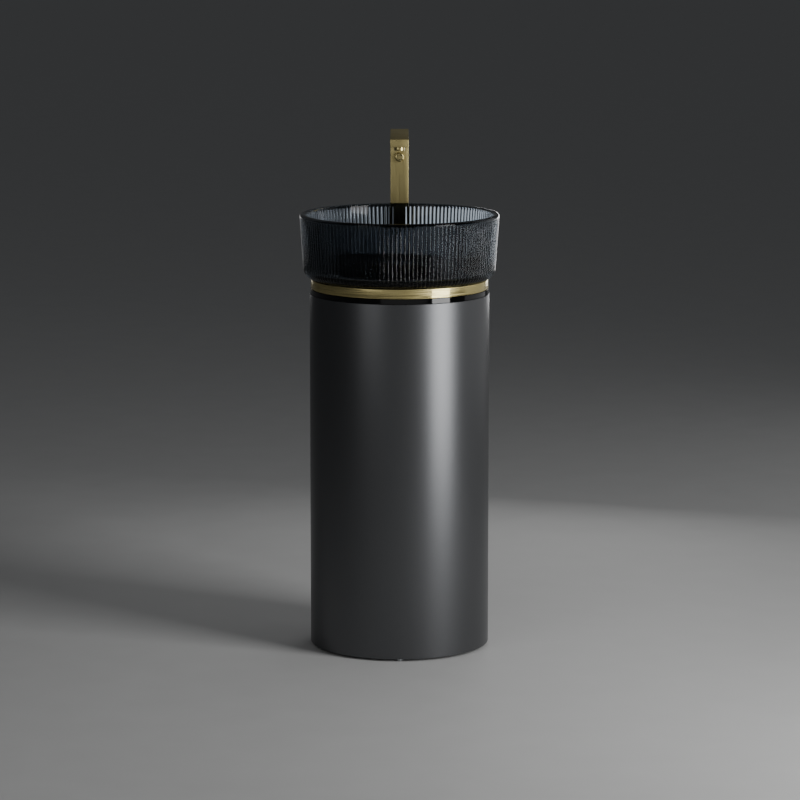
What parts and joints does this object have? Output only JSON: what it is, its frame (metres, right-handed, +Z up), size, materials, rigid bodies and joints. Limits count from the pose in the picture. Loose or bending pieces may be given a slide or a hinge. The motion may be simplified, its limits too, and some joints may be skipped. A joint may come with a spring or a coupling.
{
  "type": "pedestal sink",
  "caption": "Round metal column with a gold collar, a fluted smoked glass vessel basin and a flat-bar tap standing behind it.",
  "frame": {"origin": "on the floor, in the middle of the plan of the whole object; the column's axis is 23.5 mm nearer the front", "axes": "+Z up; -Y to the front, where a user stands; +X to the user's right"},
  "size_m": [0.41, 0.457, 1.052],
  "materials": {
    "anthracite_metal": "satin grey metallic coat over rolled steel",
    "black_gloss": "high gloss black lacquer",
    "brushed_gold": "pale gold, fine brushing along the bar and round the ring",
    "smoked_glass": "dark grey glass with fine upright flutes, polished rim",
    "zinc_steel": "bright zinc plate",
    "chrome_plate": "polished chrome plate",
    "white_plastic": "white polypropylene",
    "black_rubber": "matte black sealing rubber",
    "raw_brass": "turned, unplated",
    "red_lever": "red coated lever",
    "blue_lever": "blue coated lever",
    "steel_braid": "stainless wire braid over rubber hose"
  },
  "bodies": {
    "sink": {"column_shell": "anthracite_metal", "access_panel": "anthracite_metal", "panel_screw_left": "anthracite_metal", "panel_screw_right": "anthracite_metal", "tap_console": "anthracite_metal", "top_plate": "black_gloss", "gold_collar": "brushed_gold", "drain_body": "brushed_gold", "tap_pillar": "brushed_gold", "tap_spout": "brushed_gold", "aerator_housing": "brushed_gold", "glass_basin": "smoked_glass", "base_plate": "zinc_steel", "valve_bracket": "zinc_steel", "panel_strap_left": "zinc_steel", "panel_strap_right": "zinc_steel", "foot_lock_nut_front": "zinc_steel", "foot_lock_nut_right": "zinc_steel", "foot_lock_nut_back": "zinc_steel", "foot_lock_nut_left": "zinc_steel", "frame_post_front": "zinc_steel", "frame_post_right": "zinc_steel", "frame_post_left": "zinc_steel", "post_screw_front": "zinc_steel", "post_screw_right": "zinc_steel", "post_screw_left": "zinc_steel", "trap_inlet_nut": "chrome_plate", "dip_tube": "chrome_plate", "trap_body": "chrome_plate", "trap_cup": "chrome_plate", "trap_outlet_nut": "chrome_plate", "trap_outlet_bend": "chrome_plate", "stop_valve_hot": "chrome_plate", "stop_valve_cold": "chrome_plate", "hose_nut_hot": "chrome_plate", "hose_nut_cold": "chrome_plate", "waste_pipe": "white_plastic", "aerator_insert": "white_plastic", "basin_gasket": "black_rubber", "drain_seal_upper": "black_rubber", "drain_seal_lower": "black_rubber", "tap_gasket": "black_rubber", "drain_nut": "raw_brass", "click_insert": "raw_brass", "valve_lock_nut_hot": "raw_brass", "valve_lock_nut_cold": "raw_brass", "tap_shank": "raw_brass", "tap_clamp_nut": "raw_brass", "mixer_cartridge": "raw_brass", "hose_hot": "steel_braid", "hose_cold": "steel_braid"},
    "knob": {"control_knob": "brushed_gold"},
    "plug": {"drain_plug": "brushed_gold"},
    "hot_lever": {"valve_handle_hot": "red_lever"},
    "cold_lever": {"valve_handle_cold": "blue_lever"},
    "foot_front": {"levelling_foot_front": "zinc_steel"},
    "foot_right": {"levelling_foot_right": "zinc_steel"},
    "foot_back": {"levelling_foot_back": "zinc_steel"},
    "foot_left": {"levelling_foot_left": "zinc_steel"}
  },
  "joints": [
    {"name": "knob_turn", "type": "hinge", "parent": "sink", "child": "knob", "pos_m": [0, 0.1925, 0.995], "axis": [0, -1, 0], "range_deg": [0, 110]},
    {"name": "plug_press", "type": "slide", "parent": "sink", "child": "plug", "axis": [0, 0, -1], "range_m": [0, 0.008], "stiffness_N_per_m": 600, "springref_m": -0.005},
    {"name": "hot_lever_turn", "type": "hinge", "parent": "sink", "child": "hot_lever", "pos_m": [-0.045, 0.1055, 0.084], "axis": [0, -1, 0], "range_deg": [0, 90]},
    {"name": "cold_lever_turn", "type": "hinge", "parent": "sink", "child": "cold_lever", "pos_m": [0.045, 0.1055, 0.084], "axis": [0, 1, 0], "range_deg": [0, 90]},
    {"name": "foot_front_turn", "type": "hinge", "parent": "sink", "child": "foot_front", "pos_m": [0, -0.1935, 0.02], "axis": [0, 0, 1], "continuous": true},
    {"name": "foot_right_turn", "type": "hinge", "parent": "sink", "child": "foot_right", "pos_m": [0.17, -0.0235, 0.02], "axis": [0, 0, 1], "continuous": true},
    {"name": "foot_back_turn", "type": "hinge", "parent": "sink", "child": "foot_back", "pos_m": [0, 0.1465, 0.02], "axis": [0, 0, 1], "continuous": true},
    {"name": "foot_left_turn", "type": "hinge", "parent": "sink", "child": "foot_left", "pos_m": [-0.17, -0.0235, 0.02], "axis": [0, 0, 1], "continuous": true}
  ]
}
